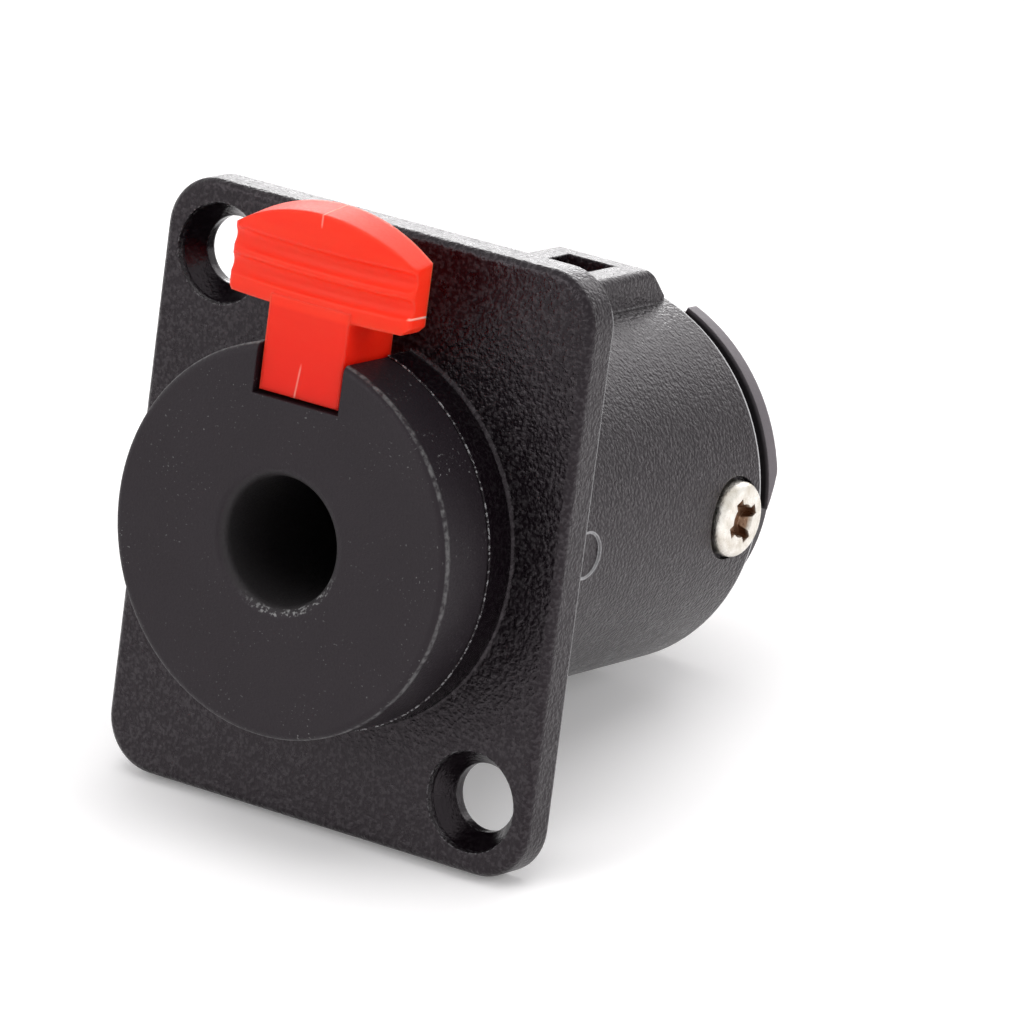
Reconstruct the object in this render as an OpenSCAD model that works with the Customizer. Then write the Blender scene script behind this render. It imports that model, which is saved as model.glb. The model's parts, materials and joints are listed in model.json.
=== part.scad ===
// Panel-mount locking jack socket for 6.35 mm plugs.
// The origin is on the jack axis, in the plane where the flange meets the panel.
// The plug comes in along +Y, the red release button is at +Z.

/* [Flange] */
// Width of the flange
flange_w = 26; // [25.6:0.1:30]
// Height of the flange
flange_h = 31.4; // [30.4:0.1:36]
// Thickness of the flange
flange_t = 2; // [1.6:0.1:2.4]
// Radius of the flange's corners
flange_corner_r = 2.8; // [2:0.1:4]
// Rounding of the flange's front edge
flange_edge_r = 0.45; // [0.2:0.05:0.8]
// Sideways distance between the two mounting holes
hole_pitch_x = 19; // [18.8:0.1:19.4]
// Upright distance between the two mounting holes
hole_pitch_z = 24; // [23.6:0.1:24.6]
// Diameter of the mounting holes
hole_d = 3.55; // [2.9:0.05:3.8]
// Diameter of the countersink at the front face
sink_d = 5.2; // [4.6:0.1:6]
// Depth of the countersink's cone
sink_depth = 1.1; // [0.6:0.1:1.4]
// Depth of the straight lip in front of the cone
sink_lip = 0.3; // [0.1:0.05:0.5]

/* [Barrel] */
// Outer diameter of the barrel behind the flange
barrel_d = 20.4; // [20:0.1:21]
// Length of the barrel behind the flange
barrel_len = 21.3; // [20.6:0.1:22]
// Thickness of the barrel's wall
shell_wall = 1.2; // [0.9:0.05:1.6]
// Rounding of the barrel's rear edge
barrel_edge_r = 0.3; // [0.1:0.05:0.5]
// Step from the barrel's radius down to the collar's
collar_step = 0.05; // [0:0.05:0.3]
// Height of the collar in front of the flange
collar_h = 2.05; // [1.8:0.05:2.4]
// Radius of the hollow fillet between the collar and the flange
collar_fillet = 0.15; // [0.1:0.05:0.6]
// Width of the rib on top of the barrel, at its flat top
rib_w = 6.2; // [5.6:0.1:7]
// Rise of the rib's flat top above the barrel
rib_rise = 1.3; // [1:0.1:1.8]
// Rounding of the rib's long edges
rib_edge_r = 0.5; // [0.2:0.05:0.8]
// Distance of the end of the rib's flat top from the barrel's rear edge
rib_setback = 2.2; // [2.1:0.1:4]
// Length of the slope at the rib's rear end
rib_slope = 1.5; // [1:0.1:2]
// Width of the window in the rib
window_w = 2.9; // [2.2:0.1:3.6]
// Distance of the window's front edge from the flange
window_front = 1.6; // [1:0.1:6]
// Length of the rib's flat top behind the window
window_margin = 1; // [0.4:0.1:4]
// Diameter of the shallow round mark on the barrel's side
mark_d = 2.4; // [1.6:0.1:2.8]
// Distance of the round mark from the panel plane
mark_y = 4.9; // [3:0.1:8]

/* [Nose] */
// Step from the collar's radius down to the nose's
nose_step = 0.1; // [0.05:0.05:0.4]
// Length of the nose in front of the collar
nose_len = 3.8; // [3.4:0.1:4.4]
// Rounding of the nose's front edge
nose_edge_r = 0.4; // [0.2:0.05:0.8]
// Diameter of the plug bore
bore_d = 6.6; // [6.5:0.05:6.9]
// Rounding of the bore's mouth
mouth_r = 0.6; // [0.2:0.05:0.8]

/* [Release button] */
// Width of the button's pad
pad_w = 11; // [9:0.1:12]
// Height of the pad's lower edge above the nose
pad_rise = 1.7; // [1.2:0.05:2.2]
// Height of the pad at its ends
pad_end_h = 3.3; // [2.9:0.05:4]
// Height of the pad at its middle
pad_mid_h = 5.05; // [4.4:0.05:6]
// Slope of the pad's arched top, which rises to the rear
pad_slope = 8; // [0:1:12]
// Thickness of the pad
pad_t = 2.1; // [1.6:0.1:2.4]
// Distance of the pad's ends behind the middle of its front
pad_bow = 0.6; // [0.3:0.05:0.9]
// Rounding of the pad's upright front edges
pad_edge_r = 0.4; // [0.2:0.05:0.6]
// Bevel at the pad's lower corners
pad_chamfer = 0.35; // [0.1:0.05:0.8]
// Distance of the pad's front behind the stem's front
pad_inset = 0.05; // [0.05:0.05:0.6]
// Number of grip grooves across the pad
groove_count = 2; // [1:1:2]
// Height of the lowest grip groove above the pad's lower edge
groove_rise = 1.35; // [1:0.05:1.5]
// Distance between the grip grooves
groove_pitch = 1.36; // [1.2:0.02:1.5]
// Width of each grip groove
groove_w = 1.1; // [0.6:0.05:1.15]
// Depth of the grip grooves
groove_depth = 0.35; // [0.1:0.05:0.5]
// Width of the button's stem
stem_w = 4.8; // [4.4:0.1:5]
// Distance of the stem's front behind the nose's face
stem_inset = 0.25; // [0:0.05:0.5]
// Width of the arm behind the stem
arm_w = 4.2; // [3.8:0.1:4.4]
// Height of the arm's underside above the jack axis
arm_low = 7.35; // [7.2:0.05:7.5]
// Thickness of the arm
arm_t = 1.75; // [1.6:0.05:2.1]
// Reach of the button's rear end behind the barrel
block_reach = 0.9; // [0.5:0.1:1.2]
// Travel of the button when it is pushed
travel = 1.3; // [0.9:0.05:1.3]

/* [Lock] */
// Distance of the lever's hook from the jack axis
hook_reach = 2.6; // [2.4:0.05:2.9]
// Diameter of the pivot pin
pivot_d = 1.1; // [0.9:0.05:1.3]
// Length of the pivot pin on each side of the lever's slot
pivot_grip = 1.9; // [1.5:0.1:2.2]
// Width of the lock lever
lever_w = 2; // [1.6:0.1:2.2]
// Angle that the lever turns through when it releases the plug
lever_lift = 14; // [10:1:14]
// Diameter of the lock spring
lock_spring_d = 1.8; // [1.5:0.05:1.9]
// Diameter of the return spring
return_spring_d = 1.7; // [1.4:0.05:1.8]
// Diameter of the springs' wire
wire_d = 0.26; // [0.2:0.02:0.34]

/* [Rear carrier] */
// Step from the barrel's radius down to the carrier's rim
rim_step = 0.25; // [0.1:0.05:0.5]
// Gap between the barrel's rear edge and the rim
rim_gap = 1; // [0.6:0.1:1.4]
// Thickness of the rim
rim_t = 1; // [0.8:0.1:1.6]
// Height above the jack axis where the rim starts to taper towards its lower ends
rim_taper_z = 3.4; // [2:0.1:5]
// Height of the rim's lower ends above the jack axis
rim_end_z = -1.2; // [-2:0.1:1]
// Distance of the rim's upper ends from the button's channel
rim_margin = 1.5; // [0.8:0.05:2]
// Step from the shell's bore down to the carrier's rear disc
disc_step = 0.3; // [0.1:0.05:0.6]
// Thickness of the rear disc behind the rim
disc_t = 1.3; // [1:0.1:1.6]
// Thickness of the wall behind the plug
end_wall = 1.6; // [1.4:0.1:1.8]
// Width of each guide post beside the button's rear end
post_w = 1.1; // [0.8:0.1:1.4]
// Length of the guide posts behind the rim's front
post_len = 2.1; // [1.6:0.1:2.4]
// Step from the rear disc's radius down to the top of the guide posts
post_step = 0.1; // [0.05:0.05:0.4]
// Depth of the opening under the button's rear end
rear_drop = 1.6; // [1:0.1:2]
// Rounding of the edges of the rim and the disc
carrier_edge_r = 0.25; // [0.1:0.05:0.4]

/* [Contacts] */
// Thickness of the contact strips
strip_t = 0.4; // [0.3:0.05:0.5]
// Width of the contact strips
strip_w = 2; // [1.6:0.1:2.2]
// Width of the sleeve contact's lug
sleeve_lug_w = 2.9; // [2.4:0.1:3]
// Distance of the side lugs from the jack axis
lug_x = 5.8; // [5.6:0.05:5.9]
// Length of the side lugs behind the disc
lug_len = 4; // [3.4:0.1:6]
// Drop of the sleeve contact's lug
sleeve_lug_drop = 5; // [4:0.1:5.4]
// Diameter of the lugs' eyes
eye_d = 1.2; // [0.8:0.1:1.4]
// Distance from the jack axis at which a contact meets the plug
touch_r = 2.9; // [2.8:0.05:3.1]
// Distance of the tip contact's touching point from the end of the bore
tip_back = 3.4; // [3:0.1:4]
// Distance of the ring contact's touching point from the end of the bore
ring_back = 8.6; // [8:0.1:9.4]
// Distance of the sleeve contact's touching point from the end of the bore
sleeve_back = 12.2; // [11.6:0.1:13]

/* [Side screw] */
// Distance of the side screw from the barrel's rear edge
screw_back = 2.5; // [2.4:0.1:4]
// Thread diameter of the side screw
screw_d = 2; // [1.6:0.1:2.2]
// Head diameter of the side screw
head_d = 4; // [3.6:0.1:4.2]
// Height of the side screw's head
head_h = 1.1; // [0.8:0.1:1.3]
// Length of the side screw under its head
screw_len = 2.3; // [1.8:0.1:2.4]
// Depth of the flat seat under the screw's head
spot_depth = 0.6; // [0.4:0.05:0.8]

/* [Clearances] */
// Gap all round between the mouldings and the shell
seat_gap = 0.12; // [0.05:0.01:0.2]
// Gap on each side of the sliding button
slide_gap = 0.22; // [0.15:0.01:0.3]
// Gap round the pivot pin and the screw
pin_gap = 0.06; // [0.03:0.01:0.1]
// Gap between the lever and the button's cam
cam_gap = 0.1; // [0.06:0.01:0.15]
// Gap at the ends of the springs
spring_gap = 0.03; // [0.02:0.01:0.05]
// Gap round the springs' coils
coil_gap = 0.15; // [0.1:0.01:0.2]
// Gap on each side of the lever
lever_gap = 0.25; // [0.15:0.01:0.3]
// Gap at the button's stops at each end of its travel
stop_gap = 0.15; // [0.1:0.01:0.2]
// Room beside the contact strips in their pockets
pocket_gap = 0.25; // [0.15:0.01:0.3]
// Gap round the lugs in their slots
slot_gap = 0.1; // [0.05:0.01:0.15]
// Extra room round the plug inside the carrier
bore_relief = 0.25; // [0.2:0.01:0.35]

/* [Hidden] */
$fn = 96;
// Overlap of cutting solids past the faces that they cut
cut = 0.5;

// Planes across the jack axis
face_y = -flange_t;
collar_y = face_y - collar_h;
nose_y = collar_y - nose_len;
rim_y = barrel_len + rim_gap;
disc_y = rim_y + rim_t;
rear_y = disc_y + disc_t;
bore_end_y = rear_y - end_wall;
tip_touch_y = bore_end_y - tip_back;
ring_touch_y = bore_end_y - ring_back;
sleeve_touch_y = bore_end_y - sleeve_back;
// The nose moulding ends where the sleeve contact's toe has room in front of it
toe_len = 1.8;
toe_room = 0.8;
insert_end_y = sleeve_touch_y - toe_len - toe_room;

// Round forms about the jack axis
shell_bore_d = barrel_d - 2 * shell_wall;
collar_d = barrel_d - 2 * collar_step;
nose_d = collar_d - 2 * nose_step;
rim_d = barrel_d - 2 * rim_step;
disc_d = shell_bore_d - 2 * disc_step;
insert_r = shell_bore_d / 2 - seat_gap;
carrier_bore_d = bore_d + 2 * bore_relief;

// Rib
rib_top = barrel_d / 2 + rib_rise;
rib_len = barrel_len - rib_setback;
window_rear = rib_len - window_margin;

// Button
pad_low = nose_d / 2 + pad_rise;
pad_end_top = pad_low + pad_end_h;
pad_mid_top = pad_low + pad_mid_h;
stem_front_y = nose_y + stem_inset;
stem_rear_y = face_y - stop_gap - travel;
pad_front_y = stem_front_y + pad_inset;
pad_rear_y = pad_front_y + pad_t;
pad_arch_r = arc_radius(pad_w, pad_mid_top - pad_end_top);
pad_bow_r = arc_radius(pad_w, pad_bow);
groove_r = arc_radius(groove_w, groove_depth);
arm_top = arm_low + arm_t;
block_len = 1.8;
block_rear_y = barrel_len + block_reach;
floor_z = arm_low - slide_gap;
roof_z = arm_top + slide_gap;
notch_w = stem_w + 2 * slide_gap;
channel_w = arm_w + 2 * slide_gap;

// Return spring in its trough under the arm
trough_w = return_spring_d + 2 * coil_gap;
trough_floor_z = floor_z - return_spring_d - 2 * coil_gap;
trough_front_y = 0.5;
trough_wall = 0.8;
trough_rear_y = insert_end_y - trough_wall;
tab_t = 1;
tab_front_y = trough_front_y + stop_gap;
tab_rear_y = tab_front_y + tab_t;
return_axis_z = trough_floor_z + return_spring_d / 2 + coil_gap;
return_turns = 7;

// Lock lever: tail in front of the pivot, hook behind it
tail_arm = 3.5;
tail_r = 0.5;
tail_rise = 0.8;
tail_flat = 1.5;
tail_t = 1;
cam_over = 0.7;
cam_flat = 0.8;
cam_room = 0.5;
cam_run = travel + cam_over;
lever_eye_r = 1.2;
lever_room = 0.55;
pivot_y = insert_end_y + cam_room + cam_flat + cam_run + tail_arm;
pivot_z = arm_low - lever_eye_r - lever_room;
tail_y = pivot_y - tail_arm;
tail_z = pivot_z + tail_rise;
tail_under_z = tail_z + tail_r - tail_t;
hook_arm = 3;
hook_w = 1.1;
hook_slant = 0.6;
hook_y = pivot_y + hook_arm;
hook_low_z = hook_reach;
cavity_w = lever_w + 2 * lever_gap;
cavity_floor_z = pivot_z - lever_eye_r - lever_gap;
well_front = 1.2;
well_rear = 2;
well_front_y = hook_y - well_front;
well_rear_y = hook_y + well_rear;
pivot_half = cavity_w / 2 + pivot_grip;
// Cam under the arm, sloped so that its push follows the lever's tail
tail_swing_y = tail_arm * (1 - cos(lever_lift)) - tail_rise * sin(lever_lift);
tail_drop = tail_arm * sin(lever_lift) + tail_rise * (1 - cos(lever_lift));
cam_slope = tail_drop / (travel - tail_swing_y);
cam_angle = atan(cam_slope);
cam_ref_z = tail_z + (tail_r + cam_gap) / cos(cam_angle);
cam_rear_y = tail_y + (arm_low - cam_ref_z) / cam_slope;
cam_low_z = cam_ref_z - cam_run * cam_slope;
// Lock spring under the lever's tail
lock_spring_shift = 0.4;
lock_spring_floor = 0.45;
lock_spring_y = tail_y + lock_spring_shift;
lock_spring_low_z = carrier_bore_d / 2 + lock_spring_floor;
lock_turns = 3;

// Rear carrier
rim_cut_x = channel_w / 2 + rim_margin;
posts_w = channel_w + 2 * post_w;
post_top_z = disc_d / 2 - post_step;
recess_depth = 0.8;
recess_r = 2.6;
recess_over = 0.5;
rear_run = 1.5;
pocket_half = strip_w / 2 + pocket_gap;
pocket_out = lug_x + strip_t / 2 + pocket_gap;

// Contacts: a curved bump meets the plug, a bent toe leads it in
bump_r = 0.8;
bump_open = 35;
fold_r = 0.6;
toe_out = 1;
knee_len = 2.6;
knee_out = 1.4;
leaf_len = 5.5;
tip_leaf = 7.8;
lug_end_y = rear_y + lug_len;
sleeve_z = -5;
sleeve_exit_z = -2.9;
sleeve_exit_y = rear_y + 2.8;
sleeve_rise_run = 1.8;
sleeve_rise_y = bore_end_y - 0.3;

// Side screw
screw_y = barrel_len - screw_back;
spot_x = barrel_d / 2 - spot_depth;
screw_tip_x = spot_x - screw_len;
head_edge_r = 0.45;
cross_depth = 0.65;
cross_long = 2.4;
cross_wide = 0.6;
cross_turn = 27;
pit_r = 0.9;
pit_tip_r = 0.65;

// Round mark on the barrel
mark_depth = 0.12;

// Shared shapes

// Cylinder along the jack axis from y0 to y1.
module y_cyl(y0, y1, r) {
    translate([0, y0, 0]) rotate([-90, 0, 0]) cylinder(h = y1 - y0, r = r);
}

// Cylinder along X from x0 to x1 at the given y and z.
module x_cyl(x0, x1, r, y, z) {
    translate([x0, y, z]) rotate([0, 90, 0]) cylinder(h = x1 - x0, r = r);
}

// Turns a profile of radius and distance from y0 about the jack axis.
module y_turn(y0) {
    translate([0, y0, 0]) rotate([-90, 0, 0]) rotate_extrude() children();
}

// Box given by its lowest and highest corners.
module box(low, high) {
    translate(low) cube(high - low);
}

// Extrudes a profile in the x-z plane from y0 to y1.
module along_y(y0, y1) {
    translate([0, y1, 0]) rotate([90, 0, 0]) linear_extrude(y1 - y0) children();
}

// Extrudes a profile in the y-z plane, centred on x = 0.
module along_x(w) {
    translate([-w / 2, 0, 0]) rotate([90, 0, 90]) linear_extrude(w) children();
}

// Half section of a slab or a turned piece, with its outer upper corner rounded.
module edge_section(half, h, r) {
    square([half, h - r]);
    square([half - r, h]);
    translate([half - r, h - r]) circle(r);
}

// Whole section of a slab with both upper corners rounded.
module slab_section(half, h, r) {
    edge_section(half, h, r);
    mirror([1, 0]) edge_section(half, h, r);
}

// Radius of the arc over a chord w that rises by h.
function arc_radius(w, h) = (pow(w / 2, 2) + pow(h, 2)) / (2 * h);

// Direction of a path at point i, as a unit vector.
function heading(p, i) =
    let (d = p[min(i + 1, len(p) - 1)] - p[max(i - 1, 0)]) d / norm(d);

// Path moved sideways by d.
function side(p, d) =
    [for (i = [0:len(p) - 1]) let (h = heading(p, i)) p[i] + d * [-h.y, h.x]];

// Points on an arc about c, from angle a to angle b.
function arc(c, r, a, b, steps = 8) =
    [for (i = [0:steps]) let (t = a + (b - a) * i / steps) c + r * [cos(t), sin(t)]];

// Outline of a strip of thickness t bent along the path p.
module strip_outline(p, t) {
    ahead = side(p, t / 2);
    back = side(p, -t / 2);
    polygon(concat(ahead, [for (i = [len(p) - 1:-1:0]) back[i]]));
}

// Coil of round wire that stands on z = 0 and is h high.
module coil(d, wire, h, turns) {
    steps = 14;
    sides = 8;
    count = turns * steps;
    r = (d - wire) / 2;
    rise = h - wire;
    points = [
        for (i = [0:count])
            let (a = 360 * i / steps, z = wire / 2 + rise * i / count)
            for (k = [0:sides - 1])
                let (b = 360 * k / sides, q = r + wire / 2 * cos(b))
                [q * cos(a), q * sin(a), z + wire / 2 * sin(b)]
    ];
    walls = [
        for (i = [0:count - 1])
            for (k = [0:sides - 1])
                let (a = i * sides + k, b = i * sides + (k + 1) % sides)
                [a, a + sides, b + sides, b]
    ];
    start_cap = [for (k = [0:sides - 1]) k];
    end_cap = [for (k = [sides - 1:-1:0]) count * sides + k];
    polyhedron(points, concat(walls, [start_cap, end_cap]), convexity = 10);
}

// Shell: one die casting with flange, collar, barrel and rib

module flange() {
    half_w = flange_w / 2;
    half_h = flange_h / 2;
    r = flange_corner_r;
    translate([0, 0, r - half_h]) linear_extrude(flange_h - 2 * r) mirror([0, 1])
        slab_section(half_w, flange_t, flange_edge_r);
    along_x(flange_w - 2 * r) rotate(90) slab_section(half_h, flange_t, flange_edge_r);
    for (x = [-1, 1], z = [-1, 1]) {
        translate([x * (half_w - r), 0, z * (half_h - r)]) rotate([90, 0, 0])
            rotate_extrude() edge_section(r, flange_t, flange_edge_r);
    }
}

module rib() {
    intersection() {
        along_y(0, rib_len + rib_slope) slab_section(rib_w / 2, rib_top, rib_edge_r);
        along_x(flange_w) polygon([
            [0, 0],
            [rib_len + rib_slope, 0],
            [rib_len + rib_slope, rib_top - rib_slope],
            [rib_len, rib_top],
            [0, rib_top]
        ]);
    }
}

module shell() {
    color("#1c1c1e") difference() {
        union() {
            flange();
            y_cyl(collar_y, 0, collar_d / 2);
            mirror([0, 1, 0]) y_turn(flange_t - collar_fillet) difference() {
                square([collar_d / 2 + collar_fillet, 2 * collar_fillet]);
                translate([collar_d / 2 + collar_fillet, 2 * collar_fillet]) circle(collar_fillet);
            }
            y_turn(0) edge_section(barrel_d / 2, barrel_len, barrel_edge_r);
            rib();
        }
        y_cyl(collar_y - cut, barrel_len + cut, shell_bore_d / 2);
        // Notch for the button's stem and channel for its arm
        box([-notch_w / 2, collar_y - cut, floor_z], [notch_w / 2, face_y, rib_top]);
        box([-channel_w / 2, face_y - cut, floor_z], [channel_w / 2, barrel_len + cut, roof_z]);
        box([-window_w / 2, window_front, roof_z - cut], [window_w / 2, window_rear, rib_top + cut]);
        for (s = [-1, 1]) {
            translate([s * hole_pitch_x / 2, 0, -s * hole_pitch_z / 2]) mounting_hole();
        }
        x_cyl(barrel_d / 2 - mark_depth, barrel_d / 2 + cut, mark_d / 2, mark_y, 0);
        // Seat and hole of the side screw
        x_cyl(spot_x, barrel_d / 2 + cut, head_d / 2 + slide_gap, screw_y, 0);
        x_cyl(screw_tip_x, spot_x + cut, screw_d / 2 + pin_gap, screw_y, 0);
    }
}

module mounting_hole() {
    y_cyl(face_y - cut, cut, hole_d / 2);
    y_cyl(face_y - cut, face_y + sink_lip, sink_d / 2);
    translate([0, face_y + sink_lip, 0]) rotate([-90, 0, 0])
        cylinder(h = sink_depth, d1 = sink_d, d2 = hole_d);
}

// Nose moulding: round nose with the plug bore, and a body inside the shell

module nose_insert() {
    color("#2a2a2c") difference() {
        union() {
            mirror([0, 1, 0]) y_turn(-collar_y) edge_section(nose_d / 2, nose_len, nose_edge_r);
            y_cyl(collar_y - cut, insert_end_y, insert_r);
        }
        y_cyl(nose_y - cut, insert_end_y + cut, bore_d / 2);
        // Rounded mouth of the bore
        y_turn(nose_y) difference() {
            square([bore_d / 2 + mouth_r, mouth_r]);
            translate([bore_d / 2 + mouth_r, mouth_r]) circle(mouth_r);
        }
        box([-notch_w / 2, nose_y - cut, floor_z], [notch_w / 2, face_y + cut, nose_d]);
        box([-channel_w / 2, face_y, floor_z], [channel_w / 2, insert_end_y + cut, nose_d]);
        box([-trough_w / 2, trough_front_y, trough_floor_z], [trough_w / 2, trough_rear_y, nose_d]);
    }
}

// Rear carrier: holds the contacts and the lock, and closes the barrel

module rear_carrier() {
    color("#333335") difference() {
        union() {
            y_cyl(insert_end_y, disc_y, insert_r);
            difference() {
                y_turn(rim_y) edge_section(rim_d / 2, rim_t, carrier_edge_r);
                along_y(rim_y - cut, disc_y + cut)
                    polygon([[0, 0], [2 * rim_cut_x, rim_d], [-2 * rim_cut_x, rim_d]]);
                along_x(2 * rim_d) polygon([
                    [rim_y - cut, rim_end_z],
                    [disc_y + cut, rim_taper_z],
                    [disc_y + cut, -rim_d],
                    [rim_y - cut, -rim_d]
                ]);
            }
            y_turn(disc_y - cut) edge_section(disc_d / 2, disc_t + cut, carrier_edge_r);
            box([-posts_w / 2, rim_y, floor_z], [posts_w / 2, rim_y + post_len, post_top_z]);
        }
        y_cyl(insert_end_y - cut, bore_end_y, carrier_bore_d / 2);
        box([-channel_w / 2, insert_end_y - cut, floor_z], [channel_w / 2, rear_y + cut, rim_d]);
        box([-channel_w / 2, rim_y - rear_run, floor_z - rear_drop], [channel_w / 2, rear_y + cut, rim_d]);
        lock_cavity();
        contact_pockets();
        x_cyl(screw_tip_x - cut, insert_r + cut, screw_d / 2 + pin_gap, screw_y, 0);
    }
}

module lock_cavity() {
    half = cavity_w / 2;
    box([-half, insert_end_y - cut, cavity_floor_z], [half, well_rear_y, floor_z + cut]);
    box([-half, well_front_y, 0], [half, well_rear_y, floor_z + cut]);
    translate([0, lock_spring_y, lock_spring_low_z])
        cylinder(h = floor_z, d = lock_spring_d + 2 * coil_gap);
    x_cyl(-pivot_half - pin_gap, insert_r + cut, pivot_d / 2 + pin_gap / 2, pivot_y, pivot_z);
}

module contact_pockets() {
    front = insert_end_y - cut;
    slot_half = strip_w / 2 + slot_gap;
    slot_t = strip_t / 2 + slot_gap;
    for (s = [0, 1]) {
        mirror([s, 0, 0]) box([0, front, -pocket_half], [pocket_out, bore_end_y, pocket_half]);
        mirror([s, 0, 0]) box(
            [lug_x - slot_t, bore_end_y - cut, -slot_half],
            [lug_x + slot_t, rear_y + cut, slot_half]
        );
    }
    lug_half = sleeve_lug_w / 2 + slot_gap;
    box([-lug_half, front, sleeve_z - strip_t / 2 - pocket_gap], [lug_half, bore_end_y, 0]);
    box(
        [-lug_half, bore_end_y - cut, sleeve_exit_z - slot_t],
        [lug_half, rear_y + cut, sleeve_exit_z + slot_t]
    );
    // Recess across the disc where the lugs come out
    reach = pocket_out + recess_over;
    y_cyl(rear_y - recess_depth, rear_y + cut, recess_r);
    box([-reach, rear_y - recess_depth, -slot_half], [reach, rear_y + cut, slot_half]);
}

// Release button: pad, stem, arm and rear block in one moulding

module release_button() {
    color("#e8261c") union() {
        pad();
        box([-stem_w / 2, stem_front_y, arm_low], [stem_w / 2, stem_rear_y, pad_low + cut]);
        box([-arm_w / 2, stem_rear_y - cut, arm_low], [arm_w / 2, block_rear_y - block_len / 2, arm_top]);
        along_x(arm_w) union() {
            translate([block_rear_y - block_len, arm_low]) square([block_len - arm_t / 2, arm_t]);
            translate([block_rear_y - arm_t / 2, arm_low + arm_t / 2]) circle(arm_t / 2);
        }
        // Tab that pushes the return spring
        box(
            [-return_spring_d / 2, tab_front_y, trough_floor_z + coil_gap],
            [return_spring_d / 2, tab_rear_y, arm_low + cut]
        );
        cam();
    }
}

// Pad with an arched top, a bowed front, bevelled lower corners and grip grooves.
module pad() {
    half = pad_w / 2;
    bow_y = pad_front_y + pad_bow_r;
    difference() {
        intersection() {
            translate([0, pad_front_y, pad_mid_top]) rotate([pad_slope - 90, 0, 0])
                translate([0, pad_arch_r, -pad_t]) cylinder(h = 3 * pad_t, r = pad_arch_r);
            translate([0, bow_y, pad_low]) linear_extrude(pad_mid_top) pad_plan(bow_y);
            along_y(pad_front_y - cut, pad_rear_y + cut) polygon([
                [-half, pad_low + pad_chamfer], [-half + pad_chamfer, pad_low],
                [half - pad_chamfer, pad_low], [half, pad_low + pad_chamfer],
                [half, 2 * pad_mid_top], [-half, 2 * pad_mid_top]
            ]);
        }
        for (i = [0:groove_count - 1]) {
            translate([0, bow_y, pad_low + groove_rise + i * groove_pitch]) rotate_extrude()
                translate([pad_bow_r - groove_depth + groove_r, 0]) circle(groove_r);
        }
    }
}

// Plan of the pad about the centre of its bow: arcs join the bowed front to the sides.
module pad_plan(bow_y) {
    corner_x = pad_w / 2 - pad_edge_r;
    corner_y = sqrt(pow(pad_bow_r - pad_edge_r, 2) - pow(corner_x, 2));
    tangent_x = corner_x * pad_bow_r / (pad_bow_r - pad_edge_r);
    rear = bow_y - pad_rear_y;
    intersection() {
        circle(pad_bow_r);
        translate([-tangent_x, -pad_bow_r - cut]) square([2 * tangent_x, pad_bow_r + cut - rear]);
    }
    for (s = [-1, 1]) translate([s * corner_x, -corner_y]) circle(pad_edge_r);
    translate([-pad_w / 2, -corner_y]) square([pad_w, corner_y - rear]);
}

// Wedge under the arm that presses the lever's tail down.
module cam() {
    front_y = tail_y - cam_run;
    along_x(lever_w) polygon([
        [cam_rear_y, arm_low], [front_y, cam_low_z], [front_y - cam_flat, cam_low_z],
        [front_y - cam_flat, arm_low + cut], [cam_rear_y, arm_low + cut]
    ]);
}

module return_spring() {
    start_y = tab_rear_y + spring_gap;
    color("#c8c8cc") translate([0, start_y, return_axis_z]) rotate([-90, 0, 0])
        coil(return_spring_d, wire_d, trough_rear_y - spring_gap - start_y, return_turns);
}

// Lock: a sprung lever whose hook drops into the neck of the plug's tip

module lock_lever() {
    half = lever_w / 2;
    hook_front_y = hook_y - hook_w / 2;
    hook_rear_y = hook_y + hook_w / 2;
    color("#b9b9bd") difference() {
        union() {
            along_x(lever_w) polygon([
                [tail_y, tail_z + tail_r], [pivot_y, pivot_z + lever_eye_r],
                [hook_rear_y, pivot_z], [hook_rear_y, hook_low_z + hook_slant],
                [hook_y, hook_low_z], [hook_front_y, hook_low_z],
                [hook_front_y, pivot_z - lever_eye_r], [pivot_y, pivot_z - lever_eye_r],
                [tail_y + tail_flat, tail_under_z], [tail_y, tail_under_z]
            ]);
            x_cyl(-half, half, tail_r, tail_y, tail_z);
            x_cyl(-half, half, lever_eye_r, pivot_y, pivot_z);
        }
        x_cyl(-half - cut, half + cut, pivot_d / 2 + pin_gap, pivot_y, pivot_z);
    }
}

module lock_pivot() {
    color("#d0d0d4") x_cyl(-pivot_half, pivot_half, pivot_d / 2, pivot_y, pivot_z);
}

module lock_spring() {
    low = lock_spring_low_z + spring_gap;
    color("#c8c8cc") translate([0, lock_spring_y, low])
        coil(lock_spring_d, wire_d, tail_under_z - spring_gap - low, lock_turns);
}

// Contacts: bent strips with solder lugs

// Points of the bump that meets the plug at touch_y, from angle a to angle b.
function bump(touch_y, a, b) =
    arc([touch_r + bump_r, touch_y], bump_r - strip_t / 2, a, b, 6);

module side_contact(path) {
    difference() {
        translate([0, 0, -strip_w / 2]) linear_extrude(strip_w) strip_outline(path, strip_t);
        x_cyl(lug_x - cut, lug_x + cut, eye_d / 2, lug_end_y - eye_d, 0);
    }
}

module tip_contact() {
    fold_y = tip_touch_y - tip_leaf;
    path = concat(
        [[lug_x, lug_end_y]],
        arc([lug_x - fold_r, fold_y], fold_r, 0, -180),
        [[lug_x - 2 * fold_r, tip_touch_y - toe_len - bump_r]],
        bump(tip_touch_y, 180 + bump_open, 180 - bump_open),
        [[touch_r + toe_out, tip_touch_y + toe_len]]
    );
    color("#d8d4c8") side_contact(path);
}

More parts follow.
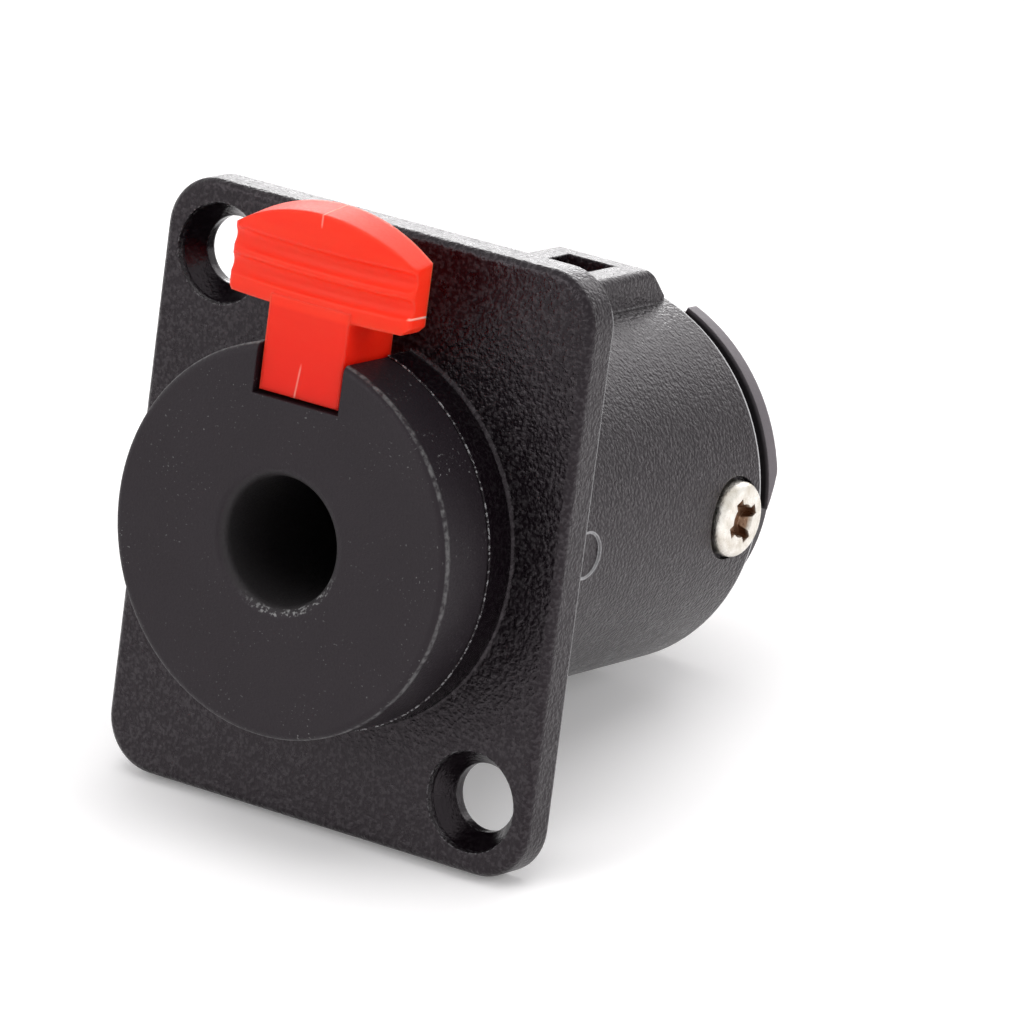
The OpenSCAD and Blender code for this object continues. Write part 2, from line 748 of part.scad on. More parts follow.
module ring_contact() {
    path = concat(
        [[lug_x, lug_end_y], [lug_x, ring_touch_y + leaf_len]],
        [[touch_r + knee_out, ring_touch_y + knee_len]],
        bump(ring_touch_y, 180 - bump_open, 180 + bump_open),
        [[touch_r + toe_out, ring_touch_y - toe_len]]
    );
    color("#d8d4c8") mirror([1, 0, 0]) side_contact(path);
}

module sleeve_contact() {
    leaf = concat(
        [[touch_r + toe_out, sleeve_touch_y - toe_len]],
        bump(sleeve_touch_y, 180 + bump_open, 180 - bump_open),
        [[touch_r + knee_out, sleeve_touch_y + knee_len]]
    );
    tip_z = sleeve_exit_z - sleeve_lug_drop;
    path = concat(
        [for (q = leaf) [q.y, -q.x]],
        [[sleeve_touch_y + leaf_len, sleeve_z], [sleeve_rise_y - sleeve_rise_run, sleeve_z]],
        [[sleeve_rise_y, sleeve_exit_z], [sleeve_exit_y, sleeve_exit_z]],
        arc([sleeve_exit_y, sleeve_exit_z - fold_r], fold_r, 80, 0),
        [[sleeve_exit_y + fold_r, tip_z]]
    );
    end_r = sleeve_lug_w / 2;
    end_z = tip_z + end_r;
    back_y = sleeve_exit_y + fold_r + strip_t;
    color("#d8d4c8") difference() {
        intersection() {
            along_x(sleeve_lug_w) strip_outline(path, strip_t);
            // Narrow inside the carrier, wide at the lug, with a round end
            union() {
                box([-strip_w / 2, 0, -rim_d], [strip_w / 2, bore_end_y, 0]);
                box([-end_r, bore_end_y, end_z], [end_r, back_y, 0]);
                translate([0, 0, end_z]) y_cyl(sleeve_exit_y, back_y, end_r);
            }
        }
        translate([0, 0, end_z]) y_cyl(sleeve_exit_y, back_y, eye_d / 2);
    }
}

// Side screw with a pan head and a cross recess

module side_screw() {
    color("#d9d6cf") translate([spot_x, screw_y, 0]) rotate([0, 90, 0]) difference() {
        union() {
            translate([0, 0, -screw_len]) cylinder(h = screw_len + cut, d = screw_d);
            rotate_extrude() edge_section(head_d / 2, head_h, head_edge_r);
        }
        for (a = [cross_turn, cross_turn + 90]) {
            rotate(a) translate([-cross_long / 2, -cross_wide / 2, head_h - cross_depth])
                cube([cross_long, cross_wide, cross_depth + cut]);
        }
        translate([0, 0, head_h - cross_depth]) cylinder(h = cross_depth, r1 = pit_tip_r, r2 = pit_r);
    }
}

shell();
nose_insert();
rear_carrier();
release_button();
return_spring();
lock_lever();
lock_pivot();
lock_spring();
tip_contact();
ring_contact();
sleeve_contact();
side_screw();
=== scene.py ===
"""Looks of the locking jack socket: finishes, springs, studio light and camera round the frame."""

import json
import math

import bpy
from mathutils import Matrix, Vector


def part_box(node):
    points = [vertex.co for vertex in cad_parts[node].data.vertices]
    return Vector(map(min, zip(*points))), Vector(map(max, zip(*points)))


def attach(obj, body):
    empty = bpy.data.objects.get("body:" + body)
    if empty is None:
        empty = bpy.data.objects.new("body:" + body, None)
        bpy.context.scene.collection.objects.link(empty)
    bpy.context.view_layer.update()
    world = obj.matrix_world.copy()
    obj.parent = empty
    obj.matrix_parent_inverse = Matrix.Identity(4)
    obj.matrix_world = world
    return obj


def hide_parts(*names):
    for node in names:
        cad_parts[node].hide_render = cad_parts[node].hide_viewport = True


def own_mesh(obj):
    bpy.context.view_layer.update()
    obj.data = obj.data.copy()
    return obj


MM = 0.001

# Camera of the photograph, fitted to the flange's edges and holes
LENS_MM = 334.81
SENSOR_MM = 36.0
CAMERA_PLACE = Vector((0.254038, -0.390747, 0.117484))
CAMERA_LOOK = Vector((-0.51641, 0.82168, -0.24117))
CAMERA_UP = Vector((-0.23633, 0.13394, 0.96240))

# The part lies on the flange's lower edge and on the barrel's rear edge
FLOOR_SLOPE = 0.238
FLOOR_SIZE = 3.0
FLOOR_COLOUR = (0.97, 0.955, 0.96, 1)
FLOOR_GLOW = 0.13
# Beyond the near distance the floor fades to plain white, which it reaches at the far one
FLOOR_NEAR = 0.10
FLOOR_FAR = 0.40

# Light from the surroundings, as a share of their white
SKY_LIGHT = 0.45
# Lamps: name, place, size, power, and whether gloss shows them
LAMPS = (
    ("top", (0.05, -0.12, 0.70), 0.8, 3.0, False),
    ("back", (-0.05, 0.82, 0.57), 0.7, 1.8, True),
    ("back_left", (-0.50, 0.80, 0.385), 0.45, 2.6, True),
    ("front", (-0.30, -0.65, 0.30), 0.5, 1.5, True),
    ("right", (0.80, 0.0, 0.40), 0.5, 2.5, False),
)

# Marks on the part, and where painted highlights and painted shade fall, in millimetres
PARTING_X = 0.1
STEM_LINE_X = -1.04
STEM_LINE_LEAN = 0.105
STEM_LINE_LOW_Z = 7.4
STEM_LINE_HIGH_Z = 8.8
# Height of the painted highlight along the top edge of the button's lowest ridge, on its side
RIDGE_HIGHLIGHT_Z = 12.6
# The stem's painted shade starts below its top height and is strongest at its low height
STEM_TOP_Z = 11.6
STEM_LOW_Z = 7.3
LINE_HALF = 0.02
LINE_SOFT = 0.05
FLANGE_FRONT_Y = -2.0
FLANGE_REAR_Y = 0.0
BARREL_R = 10.2
HOLE_X = 9.5
HOLE_Z = 12.0
SINK_R = 2.6
BORE_R = 3.3
MOUTH_R = 3.9
# The mark on the shell's right side gets a painted highlight round its edge
MARK_Y = 4.9
MARK_R = 1.2
MARK_SIDE_X = 8.0
RECESS_R = 1.3

# Coil springs: wire in millimetres, its sides, steps in a turn; turns
SPRING_WIRE = 0.26
SPRING_SIDES = 12
SPRING_STEPS = 28
RETURN_TURNS = 7
LOCK_TURNS = 3
Y_AXIS = 1
Z_AXIS = 2

# Colours
COAT_GLOSS = (1.0, 0.89, 0.96, 1)
COAT_DARK = (0.0012, 0.0003, 0.0010, 1)
COAT_CLOUD = (0.0036, 0.0018, 0.0032, 1)
# Paler colour for the pebble crests, a painted highlight on the bumps
COAT_TOPS_HIGHLIGHT = (0.0260, 0.0230, 0.0252, 1)
# Pale colour for bare metal in the edge specks and for the painted highlights
COAT_WORN_AND_LIT = (0.42, 0.42, 0.43, 1)
NOSE_GLOSS = (1.0, 0.92, 0.97, 1)
NOSE_DARK = (0.0045, 0.0026, 0.0042, 1)
NOSE_CLOUD = (0.0100, 0.0072, 0.0096, 1)
# Paler colour for the bore's inside, painted light where little light reaches
NOSE_BORE_LIFT = (0.020, 0.0185, 0.0193, 1)
# Pale colour for the random specks and for the painted highlights on the rim and the bore's edge
NOSE_SPECKS_AND_HIGHLIGHTS = (0.35, 0.35, 0.35, 1)
CARRIER_DARK = (0.010, 0.009, 0.0098, 1)
CARRIER_CLOUD = (0.018, 0.016, 0.0175, 1)
# Paler colour for the rim, a painted sheen
CARRIER_RIM_SHEEN = (0.100, 0.089, 0.097, 1)
CARRIER_EDGE = (0.24, 0.24, 0.24, 1)
RED_GLOSS = (1.0, 0.96, 0.78, 1)
RED_DARK = (0.91, 0.020, 0.005, 1)
RED_STREAK = (0.95, 0.040, 0.012, 1)
# Darker red for the stem, a painted shade under the pad that deepens downwards
RED_STEM_SHADE = (0.78, 0.006, 0.001, 1)
# Paler red along the edges, a painted highlight
RED_EDGE_HIGHLIGHT = (0.92, 0.12, 0.08, 1)
# Pale red for the raised mould marks and the ridge edge, a painted highlight
RED_LINE_HIGHLIGHT = (0.95, 0.40, 0.32, 1)
RED_SCATTER = (1.0, 0.2, 0.12)
# Brown for the screw's cross recess, a painted reflection
SCREW_RECESS_REFLECTION = (0.34, 0.22, 0.15, 1)
# Plated metals: pale and dull colour, lowest and highest roughness, depth of the dents
STEEL = ((0.56, 0.56, 0.57, 1), (0.40, 0.40, 0.41, 1), 0.25, 0.4, 0.004)
SILVER = ((0.82, 0.80, 0.75, 1), (0.62, 0.58, 0.50, 1), 0.2, 0.35, 0.006)
SCREW = ((0.85, 0.82, 0.765, 1), (0.60, 0.55, 0.47, 1), 0.25, 0.42, 0.03)

# Where a noise is taken as low and as high, when it drives the roughness
NOISE_LOW = 0.3
NOISE_HIGH = 0.7
# Agreement of rounded and flat normal away from an edge and on it
EDGE_OFF = 0.995
EDGE_ON = 0.85
# Sockets of the colour mix
MIX_SHARE = 0
MIX_A = 6
MIX_B = 7
MIX_RESULT = 2


def add(tree, kind, settings=None, **inputs):
    """A new node; inputs are socket names with _ for spaces, given a value or a socket to link."""
    node = tree.nodes.new(kind)
    for name, value in (settings or {}).items():
        setattr(node, name, value)
    for name, value in inputs.items():
        join(tree, value, node.inputs[name.replace("_", " ")])
    return node


def join(tree, value, socket):
    """Links a socket, or sets a plain value."""
    if isinstance(value, bpy.types.NodeSocket):
        tree.links.new(value, socket)
    else:
        socket.default_value = value


def join_all(tree, node, values):
    """Gives a node's first inputs these values, in order."""
    for value, socket in zip(values, node.inputs):
        join(tree, value, socket)
    return node


def math_node(tree, operation, *values):
    node = add(tree, "ShaderNodeMath", {"operation": operation})
    return join_all(tree, node, values).outputs[0]


def vector_node(tree, operation, *values):
    node = add(tree, "ShaderNodeVectorMath", {"operation": operation})
    return join_all(tree, node, values)


def mix_shaders(tree, share, a, b):
    return join_all(tree, add(tree, "ShaderNodeMixShader"), (share, a, b)).outputs[0]


def times(tree, first, *others):
    for other in others:
        first = math_node(tree, "MULTIPLY", first, other)
    return first


def greatest(tree, first, *others):
    for other in others:
        first = math_node(tree, "MAXIMUM", first, other)
    return first


def less(tree, value, amount):
    return math_node(tree, "SUBTRACT", value, amount)


def blend_colour(tree, share, a, b):
    node = add(tree, "ShaderNodeMix", {"data_type": "RGBA"})
    join(tree, share, node.inputs[MIX_SHARE])
    join(tree, a, node.inputs[MIX_A])
    join(tree, b, node.inputs[MIX_B])
    return node.outputs[MIX_RESULT]


def span(tree, value, low, high, to_low=0.0, to_high=1.0):
    """Maps low..high to to_low..to_high, clamped."""
    node = add(tree, "ShaderNodeMapRange", None, Value=value, From_Min=low, From_Max=high)
    node.inputs["To Min"].default_value = to_low
    node.inputs["To Max"].default_value = to_high
    return node.outputs[0]


def within(tree, value, low, high, soft):
    """1 between low and high, fading to 0 over soft on each side."""
    rise = span(tree, value, low - soft, low)
    fall = span(tree, value, high, high + soft, 1.0, 0.0)
    return times(tree, rise, fall)


def noise(tree, place, scale, detail=2.0, roughness=0.5):
    node = add(
        tree, "ShaderNodeTexNoise", None,
        Vector=place, Scale=scale, Detail=detail, Roughness=roughness,
    )
    return node.outputs[0]


def millimetres(tree):
    """Place on the part in millimetres, in the shared frame."""
    place = add(tree, "ShaderNodeTexCoord").outputs["Object"]
    node = vector_node(tree, "SCALE", place)
    node.inputs["Scale"].default_value = 1 / MM
    return node.outputs[0]


def axes(tree, place):
    """The x, y and z of a place, as three sockets."""
    return add(tree, "ShaderNodeSeparateXYZ", None, Vector=place).outputs


def distance(tree, a, b):
    """Length of the vector with the parts a and b."""
    both = add(tree, "ShaderNodeCombineXYZ", None, X=a, Y=b).outputs[0]
    return vector_node(tree, "LENGTH", both).outputs["Value"]


def edges(tree, radius_mm):
    """(normal rounded over sharp edges, share that is 1 on such an edge and 0 away from it)."""
    rounded = add(tree, "ShaderNodeBevel", {"samples": 6}, Radius=radius_mm * MM).outputs[0]
    flat = add(tree, "ShaderNodeNewGeometry").outputs["Normal"]
    dot = vector_node(tree, "DOT_PRODUCT", rounded, flat).outputs["Value"]
    return rounded, span(tree, dot, EDGE_OFF, EDGE_ON)


def bump(tree, height, depth_mm, normal):
    node = add(
        tree, "ShaderNodeBump", None,
        Height=height, Distance=depth_mm * MM, Normal=normal,
    )
    node.inputs["Strength"].default_value = 1.0
    return node.outputs[0]


def new_material(name, **sockets):
    """(material, its tree, its shader) with plain values set on the shader's own sockets."""
    material = bpy.data.materials.new(name)
    material.use_nodes = True
    tree = material.node_tree
    shader = tree.nodes["Principled BSDF"]
    for socket, value in sockets.items():
        shader.inputs[socket.replace("_", " ")].default_value = value
    return material, tree, shader


def dress(tree, shader, colour, roughness, normal):
    """Links what varies over a surface to its shader."""
    join(tree, colour, shader.inputs["Base Color"])
    join(tree, roughness, shader.inputs["Roughness"])
    join(tree, normal, shader.inputs["Normal"])


def coat_wear_and_highlights(tree, place, edge, low, high):
    """Share of pale colour on the coat: edge specks that are part bare metal and part painted
    highlight, painted highlights along the flange's and barrel's rear edges, and a painted
    highlight round the mark.
    """
    x, y, z = axes(tree, place)
    specks = span(tree, noise(tree, place, 5.0, 1.0), 0.50, 0.60)
    collar_front = within(tree, y, low.y - 0.1, low.y + 0.12, 0.08)
    flange_top = times(
        tree,
        span(tree, z, high.z - 0.8, high.z - 0.5),
        span(tree, y, FLANGE_FRONT_Y + 0.8, FLANGE_FRONT_Y + 0.6),
    )
    # Pale specks on all edges, denser on the collar's front and the flange's top front edge: part
    # bare metal, part painted highlight
    worn_and_lit_edges = greatest(tree, times(tree, collar_front, 1.4), flange_top, 0.35)
    # A painted highlight along the flange's rear edges at its sides and top
    side = span(tree, math_node(tree, "ABSOLUTE", x), high.x - 0.3, high.x - 0.2)
    upper = span(tree, math_node(tree, "ABSOLUTE", z), high.z - 0.3, high.z - 0.2)
    flange_rear_highlight = times(
        tree,
        greatest(tree, side, upper),
        within(tree, y, FLANGE_REAR_Y - 0.2, FLANGE_REAR_Y + 0.1, 0.05),
    )
    # A painted highlight round the barrel's rear edge
    barrel_rear_highlight = times(
        tree,
        within(tree, y, high.y - 0.28, high.y - 0.06, 0.06),
        span(tree, distance(tree, x, z), BARREL_R - 0.4, BARREL_R - 0.3),
    )
    # The rear edges' painted highlights together
    painted_highlight_lines = greatest(tree, times(tree, edge, flange_rear_highlight, 0.9), barrel_rear_highlight)
    # A painted highlight round the edge of the mark on the shell's right side
    from_mark = distance(tree, less(tree, y, MARK_Y), z)
    mark_ring_highlight = times(
        tree,
        within(tree, from_mark, MARK_R - 0.05, MARK_R + 0.05, 0.05),
        span(tree, x, MARK_SIDE_X, MARK_SIDE_X + 1.0),
        0.8,
    )
    return greatest(tree, times(tree, edge, specks, worn_and_lit_edges), painted_highlight_lines, mark_ring_highlight)


def coat_smooth(tree, place):
    """1 in the countersinks and on the collar, where the coat is smooth, and 0 elsewhere."""
    x, y, z = axes(tree, place)
    upper_left = distance(tree, math_node(tree, "ADD", x, HOLE_X), less(tree, z, HOLE_Z))
    lower_right = distance(tree, less(tree, x, HOLE_X), math_node(tree, "ADD", z, HOLE_Z))
    from_hole = math_node(tree, "MINIMUM", upper_left, lower_right)
    in_holes = span(tree, from_hole, SINK_R, SINK_R - 0.1)
    on_collar = span(tree, y, FLANGE_FRONT_Y - 0.05, FLANGE_FRONT_Y - 0.15)
    return greatest(tree, in_holes, on_collar)


def powder_coat(low, high):
    """Black pebbled powder coat on a shell with this box: pebble crests painted paler as a painted
    highlight, pale edge specks that are part bare metal and part painted highlight, and painted
    highlights along the rear edges and round the mark.
    """
    material, tree, shader = new_material("powder_coat", IOR=1.39, Specular_Tint=COAT_GLOSS)
    place = millimetres(tree)
    rounded, edge = edges(tree, 0.15)
    pebbles = noise(tree, place, 5.2, 1.5, 0.45)
    grain = noise(tree, place, 15.0, 2.0)
    cloud = noise(tree, place, 0.35, 3.0)
    # Pale specks that are part bare metal and part painted highlight, with painted highlights on
    # the rear edges and round the mark
    wear_and_highlights = coat_wear_and_highlights(tree, place, edge, low, high)
    smooth = coat_smooth(tree, place)
    pebbled = span(tree, smooth, 0.0, 1.0, 1.0, 0.25)
    dark = blend_colour(tree, cloud, COAT_DARK, COAT_CLOUD)
    # The pebble crests are painted paler, a painted highlight on the bumps
    lit_tops = times(tree, span(tree, pebbles, 0.47, 0.66), pebbled)
    body = blend_colour(tree, lit_tops, dark, COAT_TOPS_HIGHLIGHT)
    rough = span(tree, noise(tree, place, 1.2, 3.0), NOISE_LOW, NOISE_HIGH, 0.24, 0.34)
    peel = bump(tree, times(tree, pebbles, pebbled), 0.065, rounded)
    dress(
        tree, shader,
        blend_colour(tree, wear_and_highlights, body, COAT_WORN_AND_LIT),
        math_node(tree, "MULTIPLY_ADD", smooth, -0.12, rough),
        bump(tree, grain, 0.008, peel),
    )
    return material


def nose_plastic(front_y, nose_r):
    """Charcoal moulding with a spark-eroded face and pale specks, painted highlights on its front
    rim and the bore's lower right edge, and the bore's inside painted paler as painted light.
    """
    material, tree, shader = new_material("nose_plastic", IOR=1.38, Specular_Tint=NOSE_GLOSS)
    place = millimetres(tree)
    x, y, z = axes(tree, place)
    rounded, _ = edges(tree, 0.12)
    from_axis = distance(tree, x, z)
    grain = noise(tree, place, 7.0, 3.0, 0.65)
    dots = span(tree, noise(tree, place, 6.0, 1.0), 0.68, 0.76)
    patches = span(tree, noise(tree, place, 0.45, 2.0), 0.45, 0.65)
    specks = times(tree, dots, patches, span(tree, from_axis, MOUTH_R, MOUTH_R + 0.3), 0.35)
    # Painted highlight specks on the lower right of the bore's rounded edge
    mouth_highlight = times(
        tree,
        within(tree, from_axis, MOUTH_R - 0.42, MOUTH_R - 0.18, 0.1),
        span(tree, z, -0.8, -2.0),
        span(tree, x, -2.0, 0.0),
        span(tree, y, front_y + 1.0, front_y + 0.6),
        span(tree, noise(tree, place, 5.0, 2.0), 0.52, 0.62),
        0.6,
    )
    # A faint speckled painted highlight round the front rim
    rim = times(
        tree,
        within(tree, from_axis, nose_r - 0.05, nose_r, 0.05),
        span(tree, y, front_y + 0.5, front_y + 0.35),
        span(tree, noise(tree, place, 3.0, 2.0), 0.38, 0.62, 0.02, 0.26),
    )
    body = blend_colour(tree, noise(tree, place, 0.25, 4.0), NOSE_DARK, NOSE_CLOUD)
    # Painted light: the bore's inside is painted paler than the body
    inside = span(tree, from_axis, BORE_R + 0.4, BORE_R + 0.15)
    bore_lifted = blend_colour(tree, inside, body, NOSE_BORE_LIFT)
    dress(
        tree, shader,
        blend_colour(tree, greatest(tree, specks, mouth_highlight, rim), bore_lifted, NOSE_SPECKS_AND_HIGHLIGHTS),
        span(tree, grain, NOISE_LOW, NOISE_HIGH, 0.42, 0.60),
        bump(tree, grain, 0.028, rounded),
    )
    return material


def carrier_plastic(rim_r):
    """Plain dark moulding, a little smoother than the nose, painted paler round its rim as a
    painted sheen.
    """
    material, tree, shader = new_material("carrier_plastic", IOR=1.50, Specular_Tint=COAT_GLOSS)
    place = millimetres(tree)
    x, _, z = axes(tree, place)
    rounded, edge = edges(tree, 0.1)
    grain = noise(tree, place, 7.0, 3.0)
    dark = blend_colour(tree, noise(tree, place, 0.3, 2.0), CARRIER_DARK, CARRIER_CLOUD)
    # The rim is painted paler, a painted sheen
    outside = span(tree, distance(tree, x, z), rim_r - 0.25, rim_r - 0.1)
    body = blend_colour(tree, outside, dark, CARRIER_RIM_SHEEN)
    faint = times(tree, edge, span(tree, grain, 0.35, 0.65, 0.1, 0.6))
    dress(
        tree, shader,
        blend_colour(tree, faint, body, CARRIER_EDGE),
        span(tree, grain, NOISE_LOW, NOISE_HIGH, 0.38, 0.52),
        bump(tree, grain, 0.012, rounded),
    )
    return material


def mould_lines_and_ridge_highlight(tree, place, high):
    """Share of the mould's raised marks and of a ridge's top edge, all painted pale as painted
    highlights, on a button with this highest corner.
    """
    x, _, z = axes(tree, place)
    parting = times(
        tree,
        within(tree, x, PARTING_X - LINE_HALF, PARTING_X + LINE_HALF, LINE_SOFT),
        span(tree, z, high.z - 1.0, high.z - 0.8),
        0.6,
    )
    lean = math_node(tree, "MULTIPLY_ADD", z, STEM_LINE_LEAN, STEM_LINE_X)
    stem_line = times(
        tree,
        within(tree, less(tree, x, lean), -LINE_HALF, LINE_HALF, LINE_SOFT),
        within(tree, z, STEM_LINE_LOW_Z, STEM_LINE_HIGH_Z, 0.4),
        0.6,
    )
    # A painted highlight along the top edge of the lowest ridge on the button's side
    ridge_highlight = times(
        tree,
        within(tree, z, RIDGE_HIGHLIGHT_Z - 0.03, RIDGE_HIGHLIGHT_Z + 0.03, LINE_SOFT),
        span(tree, x, high.x - 0.2, high.x - 0.08),
    )
    return greatest(tree, parting, stem_line, ridge_highlight)


def button_plastic(high):
    """Bright red moulding, slightly translucent, with flow streaks, a stem painted darker as
    painted shade, and raised mould marks and edges painted paler as painted highlights.
    """
    material, tree, shader = new_material(
        "button_plastic", IOR=1.37, Specular_Tint=RED_GLOSS,
        Subsurface_Weight=0.7, Subsurface_Scale=1.0 * MM, Subsurface_Radius=RED_SCATTER,
    )
    place = millimetres(tree)
    z = axes(tree, place)[Z_AXIS]
    rounded, edge = edges(tree, 0.28)
    grain = noise(tree, place, 6.0, 2.0)
    stretched = vector_node(tree, "MULTIPLY", place, (0.25, 1.0, 1.6)).outputs[0]
    body = blend_colour(tree, noise(tree, stretched, 1.3, 3.0), RED_DARK, RED_STREAK)
    # Painted shade: the stem is painted darker below the pad, more so towards its foot
    low = span(tree, z, STEM_TOP_Z, STEM_LOW_Z, 0.5, 1.0)
    stem_shade = times(tree, low, span(tree, z, STEM_TOP_Z + 0.2, STEM_TOP_Z))
    stem_shaded = blend_colour(tree, stem_shade, body, RED_STEM_SHADE)
    # Edges painted paler, a painted highlight
    edge_lit = blend_colour(tree, times(tree, edge, 0.2), stem_shaded, RED_EDGE_HIGHLIGHT)
    # Raised mould marks and a ridge edge, painted pale as painted highlights
    painted_highlight_lines = mould_lines_and_ridge_highlight(tree, place, high)
    raised = bump(tree, painted_highlight_lines, 0.03, rounded)
    dress(
        tree, shader,
        blend_colour(tree, painted_highlight_lines, edge_lit, RED_LINE_HIGHLIGHT),
        span(tree, grain, NOISE_LOW, NOISE_HIGH, 0.40, 0.50),
        bump(tree, grain, 0.004, raised),
    )
    return material


def plated_metal(name, pale, dull, rough_low, rough_high, dent_mm):
    """(material, tree, shader, colour) of plated metal with a cloudy tarnish and fine dents."""
    material, tree, shader = new_material(name, Metallic=1.0)
    place = millimetres(tree)
    rounded, _ = edges(tree, 0.08)
    cloud = span(tree, noise(tree, place, 1.4, 4.0, 0.6), 0.35, 0.7)
    colour = blend_colour(tree, cloud, pale, dull)
    fine = noise(tree, place, 8.0, 3.0)
    roughness = span(tree, fine, NOISE_LOW, NOISE_HIGH, rough_low, rough_high)
    dress(tree, shader, colour, roughness, bump(tree, fine, dent_mm, rounded))
    return material, tree, shader, colour


def screw_plating(head_x, axis_y):
    """Bright plating whose cross recess is painted brown, a painted reflection."""
    material, tree, shader, colour = plated_metal("screw_plating", *SCREW)
    x, y, z = axes(tree, millimetres(tree))
    from_axis = distance(tree, less(tree, y, axis_y), z)
    # Painted reflection: the cross recess is painted brown
    recess_reflection = times(
        tree,
        span(tree, x, head_x - 0.08, head_x - 0.25),
        span(tree, from_axis, RECESS_R + 0.05, RECESS_R),
    )
    join(tree, blend_colour(tree, recess_reflection, colour, SCREW_RECESS_REFLECTION), shader.inputs["Base Color"])
    return material


def seen_directly(tree):
    """1 for camera, glossy and transmission rays, 0 for the light that a surface gathers."""
    path = tree.nodes.new("ShaderNodeLightPath").outputs
    return greatest(
        tree, path["Is Camera Ray"], path["Is Glossy Ray"], path["Is Transmission Ray"],
    )


def studio_floor():
    """A pale one-sided floor that reads as white where light reaches it and keeps the shadow."""
    material = bpy.data.materials.new("studio_floor")
    material.use_nodes = True
    tree = material.node_tree
    tree.nodes.clear()
    pale = add(tree, "ShaderNodeBsdfDiffuse", None, Color=FLOOR_COLOUR).outputs[0]
    glow = add(tree, "ShaderNodeEmission", None, Strength=FLOOR_GLOW).outputs[0]
    lit = join_all(tree, add(tree, "ShaderNodeAddShader"), (pale, glow)).outputs[0]
    place = add(tree, "ShaderNodeTexCoord").outputs["Object"]
    from_part = vector_node(tree, "LENGTH", place).outputs["Value"]
    white = add(tree, "ShaderNodeEmission", None, Strength=1.0).outputs[0]
    around = mix_shaders(tree, span(tree, from_part, FLOOR_NEAR, FLOOR_FAR), lit, white)
    seen = mix_shaders(tree, seen_directly(tree), pale, around)
    under = add(tree, "ShaderNodeNewGeometry").outputs["Backfacing"]
    clear = add(tree, "ShaderNodeBsdfTransparent").outputs[0]
    add(tree, "ShaderNodeOutputMaterial", None, Surface=mix_shaders(tree, under, seen, clear))
    return material


def add_object(name, data):
    """A new object in the scene."""
    thing = bpy.data.objects.new(name, data)
    bpy.context.scene.collection.objects.link(thing)
    return thing


def add_floor(low_z):
    half = FLOOR_SIZE / 2
    corners = [
        (x, y, low_z + FLOOR_SLOPE * y)
        for x, y in ((-half, -half), (half, -half), (half, half), (-half, half))
    ]
    mesh = bpy.data.meshes.new("floor")
    mesh.from_pydata(corners, [], [(0, 1, 2, 3)])
    mesh.materials.append(studio_floor())
    floor = add_object("floor", mesh)


def add_world():
    world = bpy.data.worlds.new("studio")
    bpy.context.scene.world = world
    world.use_nodes = True
    tree = world.node_tree
    tree.nodes.clear()
    strength = span(tree, seen_directly(tree), 0.0, 1.0, SKY_LIGHT, 1.0)
    sky = add(tree, "ShaderNodeBackground", None, Color=(1, 1, 1, 1), Strength=strength)
    add(tree, "ShaderNodeOutputWorld", None, Surface=sky.outputs[0])


def add_light(name, place, size, power, mirrored):
    """A round soft light that faces the middle of the part; gloss shows it only where mirrored."""
    lamp = bpy.data.lights.new(name, "AREA")
    lamp.shape = "DISK"
    lamp.size = size
    lamp.energy = power
    light = add_object(name, lamp)
    light.location = place
    light.visible_glossy = mirrored
    light.rotation_mode = "QUATERNION"
    light.rotation_quaternion = (-Vector(place)).to_track_quat("-Z", "Y")


def add_camera():
    data = bpy.data.cameras.new("camera")
    data.lens = LENS_MM
    data.sensor_width = SENSOR_MM
    camera = add_object("camera", data)
    back = -CAMERA_LOOK.normalized()
    right = CAMERA_UP.cross(back).normalized()
    up = back.cross(right)
    turn = Matrix((right, up, back)).transposed()
    camera.matrix_world = Matrix.Translation(CAMERA_PLACE) @ turn.to_4x4()
    bpy.context.scene.camera = camera


def coil_points(length, radius, turns):
    """Rings of points, in millimetres, round the wire of a coil along z with closed end turns."""
    open_pitch = (length - 3 * SPRING_WIRE) / (turns - 2)
    for step in range(turns * SPRING_STEPS + 1):
        turn = step / SPRING_STEPS
        closed = min(turn, 1) + max(turn - turns + 1, 0)
        height = SPRING_WIRE / 2 + SPRING_WIRE * closed + open_pitch * (turn - closed)
        swing = 2 * math.pi * turn
        for side in range(SPRING_SIDES):
            tilt = 2 * math.pi * side / SPRING_SIDES
            reach = radius - SPRING_WIRE / 2 * (1 - math.cos(tilt))
            yield Vector((
                reach * math.cos(swing),
                reach * math.sin(swing),
                height + SPRING_WIRE / 2 * math.sin(tilt),
            ))


def coil_faces(rings):
    """Faces of a closed tube through this many rings of points."""
    faces = []
    for start in range(0, (rings - 1) * SPRING_SIDES, SPRING_SIDES):
        for side in range(SPRING_SIDES):
            a = start + side
            b = start + (side + 1) % SPRING_SIDES
            faces.append((a, a + SPRING_SIDES, b + SPRING_SIDES, b))
    last = (rings - 1) * SPRING_SIDES
    faces.append(tuple(range(SPRING_SIDES)))
    faces.append(tuple(reversed(range(last, last + SPRING_SIDES))))
    return faces


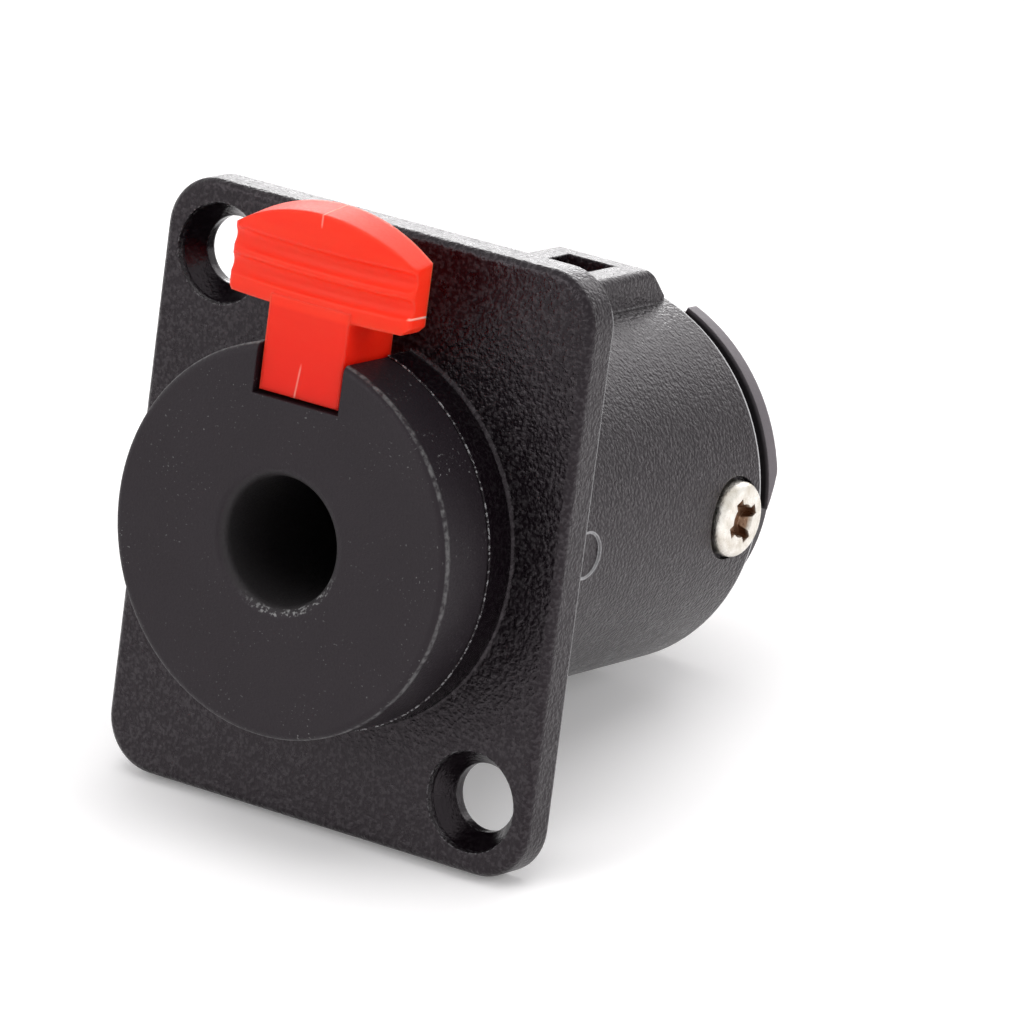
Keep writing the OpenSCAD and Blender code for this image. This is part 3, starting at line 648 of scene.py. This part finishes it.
def add_spring(name, node, along, turns, finish):
    """(coil spring in the space of a CAD node, lowest and highest corner of that space)."""
    low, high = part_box(node)
    length = (high - low)[along] / MM
    radius = (high - low).x / 2 / MM
    foot = (low + high) / 2
    foot[along] = low[along]
    direction = Vector([axis == along for axis in range(3)])
    turn = Vector((0, 0, 1)).rotation_difference(direction)
    points = [foot + turn @ (point * MM) for point in coil_points(length, radius, turns)]
    faces = coil_faces(len(points) // SPRING_SIDES)
    mesh = bpy.data.meshes.new(name)
    mesh.from_pydata(points, [], faces)
    mesh.polygons.foreach_set("use_smooth", [True] * len(faces))
    mesh.materials.append(finish)
    spring = add_object(name, mesh)
    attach(spring, "housing")
    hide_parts(node)
    return spring, low, high


def box_mm(node):
    """(lowest corner, highest corner) of a node in millimetres."""
    low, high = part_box(node)
    return low / MM, high / MM


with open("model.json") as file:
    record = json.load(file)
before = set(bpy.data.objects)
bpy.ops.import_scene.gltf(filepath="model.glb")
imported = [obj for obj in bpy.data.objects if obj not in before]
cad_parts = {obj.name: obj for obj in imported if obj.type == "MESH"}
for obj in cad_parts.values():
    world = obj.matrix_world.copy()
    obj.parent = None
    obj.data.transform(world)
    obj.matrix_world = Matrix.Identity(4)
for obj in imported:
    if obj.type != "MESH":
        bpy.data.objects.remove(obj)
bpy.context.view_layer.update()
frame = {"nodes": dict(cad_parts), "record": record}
nodes = frame["nodes"]

shell_low, shell_high = box_mm("shell")
nose_low, nose_high = box_mm("nose_insert")
_, carrier_high = box_mm("rear_carrier")
_, button_high = box_mm("release_button")
screw_low, screw_high = box_mm("side_screw")
steel = plated_metal("steel", *STEEL)[0]
finishes = {
    "shell_coat": powder_coat(shell_low, shell_high),
    "nose_plastic": nose_plastic(nose_low.y, nose_high.x),
    "carrier_plastic": carrier_plastic(carrier_high.x),
    "button_plastic": button_plastic(button_high),
    "spring_steel": steel,
    "lever_steel": steel,
    "contact_plating": plated_metal("silver_plating", *SILVER)[0],
    "screw_plating": screw_plating(screw_high.x, (screw_low.y + screw_high.y) / 2),
}
for part in frame["record"]["subparts"]:
    piece = nodes[part["node"]]
    piece.data.materials.clear()
    piece.data.materials.append(finishes[part["material_slot"]])

# Coil springs drawn in the space of the CAD springs, which are hidden, and fixed to the housing
return_coil, _, end = add_spring("return_coil", "return_spring", Y_AXIS, RETURN_TURNS, steel)
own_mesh(return_coil)
lock_coil, end, _ = add_spring("lock_coil", "lock_spring", Z_AXIS, LOCK_TURNS, steel)
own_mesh(lock_coil)

add_floor(shell_low.z * MM)
add_world()
for lamp_facts in LAMPS:
    add_light(*lamp_facts)
add_camera()

bpy.context.scene.view_settings.view_transform = "Standard"
